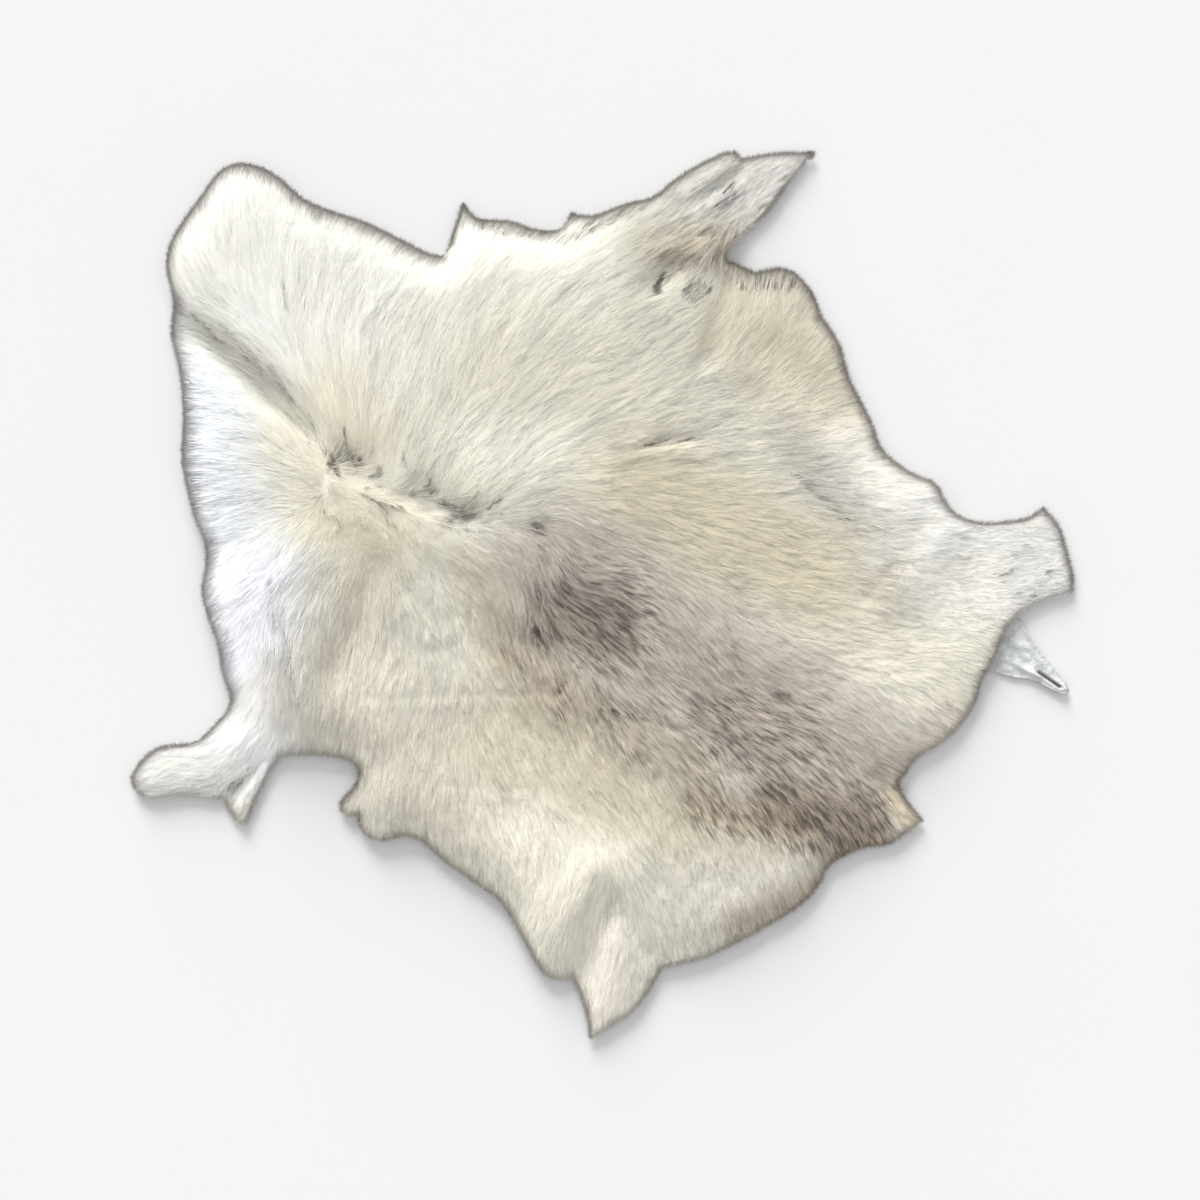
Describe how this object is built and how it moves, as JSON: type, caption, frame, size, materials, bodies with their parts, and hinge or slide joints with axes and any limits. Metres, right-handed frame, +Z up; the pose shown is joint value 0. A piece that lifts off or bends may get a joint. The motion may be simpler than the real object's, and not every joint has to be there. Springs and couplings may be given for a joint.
{
  "type": "reindeer hide",
  "caption": "Whole hair-on reindeer hide laid flat, with lobes for the neck, legs and tail; thick off-white coat with a grey-brown band over the rump.",
  "frame": {"origin": "on the floor, under the middle of the hide's box", "axes": "+Z up, out of the hair side; +Y along the spine towards the neck; +X towards the animal's right legs"},
  "size_m": [1.1652, 1.2098, 0.0553],
  "materials": {
    "coat": "dense reindeer hair, off-white with a grey-brown saddle, matte with a soft sheen",
    "skin": "alum-tanned suede flesh side, off-white, dry and matte"
  },
  "bodies": {
    "root": {"hide": "coat"}
  },
  "joints": []
}
